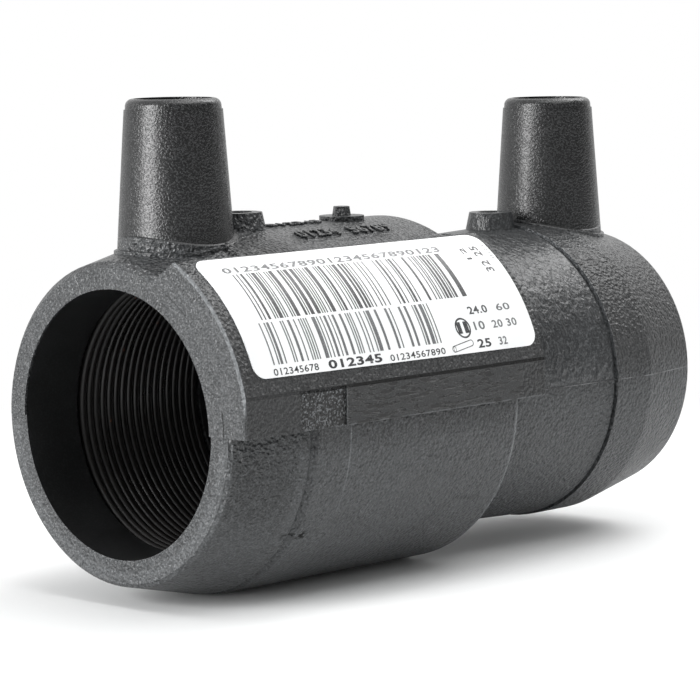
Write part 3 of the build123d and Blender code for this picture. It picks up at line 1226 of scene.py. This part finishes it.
def capsule_outline(start: tuple, end: tuple, half: float, line: float, steps: int = 10) -> Mesh:
    """The outline of a tilted round-ended bar, in millimetres.

    Args:
        start: Centre of the first end.
        end: Centre of the second end.
        half: Half the bar's width.
        line: Width of the outline.
        steps: Facets of each end.

    Returns:
        The flat mesh.
    """
    along = (Vector(end) - Vector(start)).normalized()
    across = Vector((-along.y, along.x))
    outer, inner = [], []
    for centre, first in ((Vector(end), -90), (Vector(start), 90)):
        for index in range(steps + 1):
            angle = math.radians(first + 180 * index / steps)
            way = along * math.cos(angle) + across * math.sin(angle)
            outer.append(centre + way * half)
            inner.append(centre + way * (half - line))
    count = len(outer)
    faces = [(i, (i + 1) % count, count + (i + 1) % count, count + i) for i in range(count)]
    mesh = bpy.data.meshes.new("capsule")
    mesh.from_pydata([(p.x, p.y, 0) for p in outer + inner], [], faces)
    return mesh


# ---- Sub-assemblies ----------------------------------------------------------------------

@dataclass
class Moulding:
    """The one-piece polyethylene body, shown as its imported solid."""

    finish: MouldedPolyethylene

    def build(self, nodes: dict) -> Object:
        """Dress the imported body.

        Args:
            nodes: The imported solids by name.

        Returns:
            The body.
        """
        return dress(nodes["coupler_body"], self.finish.material())


@dataclass
class HeatingCoil:
    """Covered heating wire, wound side by side in both sockets and linked along the top."""

    finish: WireCover
    trees: GeometryKit
    bore_large: float = 16.1
    bore_small: float = 12.6
    cover_gap: float = 0.05
    wire_radius: float = 0.52
    pitch: float = 1.1
    large_end: float = 28.7
    large_turns: int = 18
    small_start: float = 62.0
    small_turns: int = 17
    stop_near: float = 41.0
    stop_far: float = 49.5
    steps: int = 72

    def route(self) -> list[tuple]:
        """Give the wire's line from the large mouth's turn to the small mouth's turn.

        Returns:
            Its points in millimetres.
        """
        large = self.bore_large + self.cover_gap + self.wire_radius
        small = self.bore_small + self.cover_gap + self.wire_radius
        points = []
        count = self.large_turns * self.steps
        for index in range(count + 1):
            turn = 2 * math.pi * (count - index) / self.steps
            along = self.large_end - self.pitch * (count - index) / self.steps
            points.append((along, large * math.sin(turn), large * math.cos(turn)))
        points.append((self.stop_near, 0, large))
        points.append((self.stop_far, 0, small))
        for index in range(self.small_turns * self.steps + 1):
            turn = 2 * math.pi * index / self.steps
            points.append(
                (
                    self.small_start + self.pitch * index / self.steps,
                    small * math.sin(turn),
                    small * math.cos(turn),
                )
            )
        return points

    def build(self) -> Object:
        """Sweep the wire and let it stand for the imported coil."""
        values = {
            "Bar Radius": self.wire_radius * MM, "Sides": 12, "Material": self.finish.material()
        }
        wire = run_geometry(
            poly_curve("wire route", self.route()), self.trees.wire, values, "coil_wire"
        )
        return settle(wire, "coil_cover", "heating_coil")


@dataclass
class InfoLabel:
    """The stuck-on label with its bars, plain figures and simple signs."""

    film: LabelFilm
    ink: PrintedInk
    grey_ink: PrintedInk
    trees: GeometryKit
    pad_radius: float = 22.5
    thickness: float = 0.12
    low_angle: float = 14.6
    left: float = 2.3
    right: float = 51.3
    width: float = 18.02
    low_left: float = 1.05
    low_right: float = 0.7
    corner: float = 1.8
    print_lift: float = 0.018
    module: float = 0.2
    ink_share: float = 0.4
    figures: list = field(default_factory=lambda: [
        FigureLine("012345678901234567890123", 5.5, 42.7, 15.3, 1.02, 0.026, tone=InkTone.THIN),
        FigureLine("012345678", 5.35, 12.7, 1.22, 0.84, 0.012),
        FigureLine("012345", 14.35, 23.4, 1.16, 1.06, 0.03),
        FigureLine("01234567890", 24.8, 34.5, 1.08, 0.82, 0.012),
        FigureLine("24.0", 40.75, 44.2, 5.6, 1.05, 0.022),
        FigureLine("60", 45.9, 48.4, 5.65, 0.95, 0.012, tone=InkTone.THIN),
        FigureLine("10", 40.8, 42.7, 3.5, 1.12, 0.018, tone=InkTone.THIN),
        FigureLine("20 30", 44.1, 48.6, 3.5, 1.02, 0.016, tone=InkTone.THIN),
        FigureLine("25", 40.5, 42.9, 1.25, 1.1, 0.024),
        FigureLine("32", 44.4, 45.9, 1.3, 1.02, 0.016, tone=InkTone.THIN),
        FigureLine("12", 46.95, 49.15, 13.45, 0.9, 0.016, GlyphTurn.UPWARDS),
        FigureLine("32 25", 49.35, 53.85, 11.2, 1.4, 0.02, GlyphTurn.UPWARDS),
        FigureLine("0123", 50.95, 53.4, 13.3, 0.55, -0.005, GlyphTurn.UPWARDS, tone=InkTone.THIN),
    ])

    def start(self) -> dict:
        """Give the inputs that place flat work on the label."""
        return {"Start Angle": math.radians(self.low_angle)}

    def edge_inset(self, along: float) -> float:
        """How far the label's long edges pull in at a station near a round corner."""
        near = min(along - self.left, self.right - along)
        if near >= self.corner:
            return 0.0
        return self.corner - math.sqrt(max(0.0, self.corner ** 2 - (self.corner - near) ** 2))

    def sheet(self) -> Mesh:
        """A closed flat sheet with round corners, fine enough to wrap.

        Returns:
            The sheet's mesh in metres.
        """
        turn = [self.corner * (1 - math.cos(math.pi * i / 20)) for i in range(11)]
        inner = [
            self.corner + (self.right - self.left - 2 * self.corner) * i / 40 for i in range(1, 40)
        ]
        back = [self.right - self.left - v for v in reversed(turn)]
        stations = [self.left + v for v in turn + inner + back]
        rows = 36
        points, faces = [], []
        for level in (0.0, self.thickness):
            for along in stations:
                inset = self.edge_inset(along)
                share = (along - self.left) / (self.right - self.left)
                low = self.low_left + (self.low_right - self.low_left) * share + inset
                for row in range(rows + 1):
                    points.append((along, low + (self.width - inset - low) * row / rows, level))
        columns = len(stations)
        size = columns * (rows + 1)

        def at(level: int, column: int, row: int) -> int:
            """Index of a point."""
            return level * size + column * (rows + 1) + row

        for column in range(columns - 1):
            for row in range(rows):
                corners = (
                    (column, row), (column + 1, row), (column + 1, row + 1), (column, row + 1)
                )
                faces.append(tuple(at(1, *c) for c in corners))
                faces.append(tuple(at(0, *c) for c in reversed(corners)))
            faces.append(
                (at(0, column, 0), at(0, column + 1, 0), at(1, column + 1, 0), at(1, column, 0))
            )
            faces.append(
                (
                    at(1, column, rows),
                    at(1, column + 1, rows),
                    at(0, column + 1, rows),
                    at(0, column, rows),
                )
            )
        for row in range(rows):
            faces.append((at(1, 0, row), at(1, 0, row + 1), at(0, 0, row + 1), at(0, 0, row)))
            last = columns - 1
            faces.append(
                (at(0, last, row), at(0, last, row + 1), at(1, last, row + 1), at(1, last, row))
            )
        return mesh_from("label sheet", points, faces)

    def signs(self) -> list[Mesh]:
        """The plain signs beside the figures: a dark disc with a light bar, and a pipe outline."""
        return [
            flat_ring((38.72, 4.0), (1.33, 1.33), (1.1, 1.1)),
            flat_box(37.75, 38.45, 3.3, 4.8),
            flat_box(38.95, 39.7, 3.3, 4.8),
            capsule_outline((36.2, 1.5), (39.35, 2.02), 0.42, 0.1),
            flat_ring((36.25, 1.5), (0.24, 0.38), (0.17, 0.3), 24),
        ]

    def bars(
        self, name: str, modules: int, low: float, high: float, seed: int, ink: Material
    ) -> Object:
        """Print one row of bars.

        Args:
            name: The piece's name.
            modules: How many modules the row has.
            low: Arc length of the row's lower edge.
            high: Arc length of the row's upper edge.
            seed: Seed of the draw.
            ink: The ink's material.

        Returns:
            The printed row.
        """
        carrier = object_from(bpy.data.meshes.new("bars carrier"), "bars carrier")
        values = {
            "Modules": modules,
            "Module Width": self.module * MM,
            "Start Along": 5.35 * MM,
            "Low Edge": low * MM,
            "High Edge": high * MM,
            "Lift": self.print_lift * MM,
            "Ink Share": self.ink_share,
            "Seed": seed,
            "Radius": (self.pad_radius + self.thickness) * MM,
            "Start Angle": math.radians(self.low_angle),
            "Material": ink,
        }
        return run_geometry(carrier, self.trees.bars, values, name)

    def build(self) -> list[Object]:
        """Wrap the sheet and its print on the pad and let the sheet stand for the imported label.

        Returns:
            The sheet, then its print.
        """
        values = {**self.start(), "Radius": self.pad_radius * MM, "Material": self.film.material()}
        sheet = run_geometry(
            object_from(self.sheet(), "sheet"), self.trees.wrapped, values, "label_sheet"
        )
        smooth_by_angle(sheet.data, 30.0)
        full, thin = self.ink.material(), self.grey_ink.material()
        sets = {
            "label_figures": (
                [f.flat_mesh() for f in self.figures if f.tone is InkTone.FULL] + self.signs(), full
            ),
            "label_figures_thin": (
                [f.flat_mesh() for f in self.figures if f.tone is InkTone.THIN], thin
            ),
        }
        made = [sheet]
        for name, (meshes, ink) in sets.items():
            flat = object_from(joined(name, meshes, self.print_lift), name + "_flat")
            values = {
                **self.start(), "Radius": (self.pad_radius + self.thickness) * MM, "Material": ink
            }
            made.append(run_geometry(flat, self.trees.wrapped, values, name))
        made.append(self.bars("label_bars_upper", 183, 8.1, 15.05, 4, full))
        made.append(self.bars("label_bars_lower", 146, 2.5, 7.75, 9, thin))
        settle(sheet, "label_paper", "label")
        for piece in made[1:]:
            settle(piece, "label_paper")
        return made


@dataclass
class Inserts:
    """The parts set into the moulding: contact pins and fusion indicators."""

    brass: TurnedBrass
    cap: PinCap
    slots: dict = field(default_factory=lambda: {
        "terminal_pin_near": "terminal_brass",
        "terminal_pin_far": "terminal_brass",
        "fusion_indicator_near": "indicator_black",
        "fusion_indicator_far": "indicator_black",
    })

    def build(self, nodes: dict) -> list[Object]:
        """Dress each packed insert."""
        finishes = {"terminal_brass": self.brass.material(), "indicator_black": self.cap.material()}
        return [dress(nodes[name], finishes[slot]) for name, slot in self.slots.items()]


@dataclass
class MouldMarks:
    """What the mould leaves: parting flash on both sides and raised plain figures on top."""

    flash: PartingFlash
    body: Material
    trees: GeometryKit
    flash_radius: float = 0.06
    barrel_radius: float = 21.9
    tube_radius: float = 18.55
    raise_height: float = 0.28
    tube_outline: list = field(default_factory=lambda: [
        (52.3, 18.53), (69.2, 19.16), (69.3, 18.85), (69.7, 18.85), (
            69.75, 19.42
        ), (76.5, 19.42), (86.7, 17.36),
    ])
    barrel_outline: list = field(default_factory=lambda: [(17.3, 21.83), (47.0, 21.83)])
    barrel_figures: list = field(default_factory=lambda: [
        FigureLine("01234", 24.9, 31.8, 27.1, 2.1, 0.01, depth=FIGURE_DEPTH),
        FigureLine("56789", 33.9, 40.9, 27.0, 2.1, 0.01, depth=FIGURE_DEPTH),
        FigureLine("012345", 25.0, 34.0, 32.6, 1.6, 0.01, depth=FIGURE_DEPTH),
    ])
    tube_figures: list = field(default_factory=lambda: [
        FigureLine("0123", 52.9, 58.6, 27.6, 1.6, 0.01, depth=FIGURE_DEPTH),
    ])

    def raised(self, name: str, figures: list, radius: float) -> Object:
        """Raise plain figures from a round wall, with arc lengths counted from the parting line."""
        lift = self.raise_height - FIGURE_DEPTH / 2
        flat = object_from(
            joined(name, [line.flat_mesh() for line in figures], lift), name + "_flat"
        )
        values = {"Start Angle": 0.0, "Radius": radius * MM, "Material": self.body}
        piece = run_geometry(flat, self.trees.wrapped, values, name)
        return settle(piece, "housing_black")

    def ridge(self, name: str, outline: list, side: int) -> Object:
        """Sweep a thin ridge along the parting line."""
        route = [(x, side * radius, 0.02) for x, radius in outline]
        values = {
            "Bar Radius": self.flash_radius * MM, "Sides": 6, "Material": self.flash.material()
        }
        piece = run_geometry(poly_curve("parting line", route), self.trees.wire, values, name)
        return settle(piece, "housing_black")

    def build(self) -> list[Object]:
        """Make the ridges and the raised figures."""
        return [
            self.ridge("flash_tube_front", self.tube_outline, -1),
            self.ridge("flash_tube_back", self.tube_outline, 1),
            self.ridge("flash_barrel_back", self.barrel_outline, 1),
            self.raised("raised_figures_barrel", self.barrel_figures, self.barrel_radius),
            self.raised("raised_figures_tube", self.tube_figures, self.tube_radius),
        ]


# ---- Studio ------------------------------------------------------------------------------

@dataclass(frozen=True)
class SoftLamp:
    """A rectangular soft box, placed in metres and aimed at a point."""

    name: str
    place: tuple
    width: float
    height: float
    power: float
    aim: tuple = (0.045, 0.0, 0.005)

    def build(self) -> Object:
        """Add the lamp."""
        data = bpy.data.lights.new(self.name, "AREA")
        data.shape = "RECTANGLE"
        data.size = self.width
        data.size_y = self.height
        data.energy = self.power
        lamp = bpy.data.objects.new(self.name, data)
        lamp.location = self.place
        way = Vector(self.aim) - Vector(self.place)
        lamp.rotation_euler = way.to_track_quat("-Z", "Y").to_euler()
        bpy.context.scene.collection.objects.link(lamp)
        return lamp


@dataclass
class Studio:
    """Pale floor, white surround, soft lamps and the camera."""

    floor_level: float = -21.9
    floor_half: float = 3.0
    floor_white: float = 0.9
    clear_from: float = 0.085
    clear_until: float = 0.17
    surround: float = 0.55
    shade_level: float = 0.16
    shade_way: tuple = (0.1, -0.99, -0.05)
    eye: tuple = (-0.26050, -0.28927, 0.05166)
    yaw: float = 46.113
    pitch: float = 6.342
    roll: float = -0.918
    lens: float = 171.01
    lamps: tuple = (
        SoftLamp("top box", (0.1, -0.28, 0.7), 0.7, 0.6, 3.7),
        SoftLamp("left box", (-0.67, 0.13, 0.14), 0.36, 0.5, 8.2),
        SoftLamp("right top box", (0.5, 0.02, 0.5), 0.35, 0.4, 1.8),
        SoftLamp("front box", (0.2, -0.65, 0.5), 0.4, 0.4, 0.3),
    )

    def camera(self) -> Object:
        """Add the camera at its viewing angle.

        Returns:
            The camera.
        """
        yaw, pitch, roll = (math.radians(v) for v in (self.yaw, self.pitch, self.roll))
        ahead = Vector(
            (math.sin(yaw) * math.cos(pitch), math.cos(yaw) * math.cos(pitch), -math.sin(pitch))
        )
        right = Vector((math.cos(yaw), -math.sin(yaw), 0.0))
        up = right.cross(ahead)
        turned_right = right * math.cos(roll) + up * math.sin(roll)
        turned_up = up * math.cos(roll) - right * math.sin(roll)
        data = bpy.data.cameras.new("camera")
        data.sensor_width = 36.0
        data.sensor_fit = "HORIZONTAL"
        data.lens = self.lens
        data.clip_start = 0.01
        made = bpy.data.objects.new("camera", data)
        basis = Matrix((turned_right, turned_up, -ahead)).transposed().to_4x4()
        made.matrix_world = Matrix.Translation(self.eye) @ basis
        bpy.context.scene.collection.objects.link(made)
        bpy.context.scene.camera = made
        return made

    def world(self) -> None:
        """White surround for what is seen and mirrored, dimmer as a light on the object."""
        world = bpy.data.worlds.new("surround")
        world.use_nodes = True
        bpy.context.scene.world = world
        tree = Tree(world.node_tree)
        world.node_tree.nodes.clear()
        path = tree.node("ShaderNodeLightPath").outputs
        mirrored = tree.math("MAXIMUM", path["Is Glossy Ray"], path["Is Transmission Ray"])
        way = tree.node("ShaderNodeTexCoord").outputs["Generated"]
        facing = tree.node(
            "ShaderNodeVectorMath", {"operation": "DOT_PRODUCT"}, {0: way, 1: self.shade_way}
        ).outputs["Value"]
        shaded = tree.ramp(facing, -0.1, 0.6, 1.0, self.shade_level)
        strength = tree.blend(mirrored, self.surround, shaded)
        strength = tree.blend(path["Is Camera Ray"], strength, 1.0)
        back = tree.node(
            "ShaderNodeBackground", None, {"Color": (1.0, 1.0, 1.0, 1.0), "Strength": strength}
        )
        tree.node("ShaderNodeOutputWorld", None, {"Surface": back.outputs[0]})

    def floor(self) -> Object:
        """A wide pale floor that keeps the object's shadow.

        Returns:
            The floor.
        """
        half = self.floor_half
        level = self.floor_level * MM
        mesh = bpy.data.meshes.new("floor")
        mesh.from_pydata(
            [
                (-half, -half, level),
                (half, -half, level),
                (half, half, level),
                (-half, half, level),
            ],
            [],
            [(0, 1, 2, 3)],
        )
        made = object_from(mesh, "floor")
        material = bpy.data.materials.new("pale floor")
        material.use_nodes = True
        tree = Tree(material.node_tree)
        shader = material.node_tree.nodes["Principled BSDF"]
        white = self.floor_white
        place = tree.node("ShaderNodeTexCoord").outputs["Object"]
        cloud = tree.node(
            "ShaderNodeTexNoise", None, {"Vector": place, "Scale": 9.0, "Detail": 2.0}
        ).outputs[0]
        colour = tree.mix(
            tree.ramp(cloud, 0.3, 0.7),
            (white, white, white, 1.0),
            (white - 0.02, white - 0.01, white - 0.01, 1.0),
        )
        tree.feed(shader, "Base Color", colour)
        shader.inputs["Roughness"].default_value = 0.6
        shader.inputs["Specular IOR Level"].default_value = 0.2
        middle = (0.045, 0.0, self.floor_level * MM)
        away = tree.node(
            "ShaderNodeVectorMath", {"operation": "DISTANCE"}, {0: place, 1: middle}
        ).outputs["Value"]
        path = tree.node("ShaderNodeLightPath").outputs
        clear = tree.math(
            "MULTIPLY", tree.ramp(away, self.clear_from, self.clear_until), path["Is Camera Ray"]
        )
        glow = tree.node(
            "ShaderNodeEmission", None, {"Color": (1.0, 1.0, 1.0, 1.0), "Strength": 1.0}
        ).outputs[0]
        both = tree.node(
            "ShaderNodeMixShader", None, {0: clear, 1: shader.outputs[0], 2: glow}
        ).outputs[0]
        tree.feed(material.node_tree.nodes["Material Output"], "Surface", both)
        made.data.materials.append(material)
        return made

    def build(self) -> None:
        """Set up floor, surround, lamps, camera and view transform."""
        self.floor()
        self.world()
        for lamp in self.lamps:
            lamp.build()
        self.camera()
        bpy.context.scene.view_settings.view_transform = "Standard"


# ---- Making ------------------------------------------------------------------------------


def main() -> None:
    """Build every sub-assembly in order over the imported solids."""
    logging.basicConfig(level=logging.INFO, format="%(name)s %(message)s")
    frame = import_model()
    nodes = frame["nodes"]
    shaders = ShaderKit()
    trees = GeometryKit()
    body = Moulding(MouldedPolyethylene(shaders)).build(nodes)
    HeatingCoil(WireCover(shaders), trees).build()
    ink = PrintedInk(shaders)
    grey_ink = PrintedInk(shaders, "thin ink", (0.10, 0.103, 0.107, 1.0), (0.28, 0.285, 0.29, 1.0))
    InfoLabel(LabelFilm(shaders), ink, grey_ink, trees).build()
    Inserts(TurnedBrass(shaders), PinCap(shaders)).build(nodes)
    MouldMarks(PartingFlash(shaders), body.material_slots[0].material, trees).build()
    Studio().build()


if __name__ == "__main__":
    main()
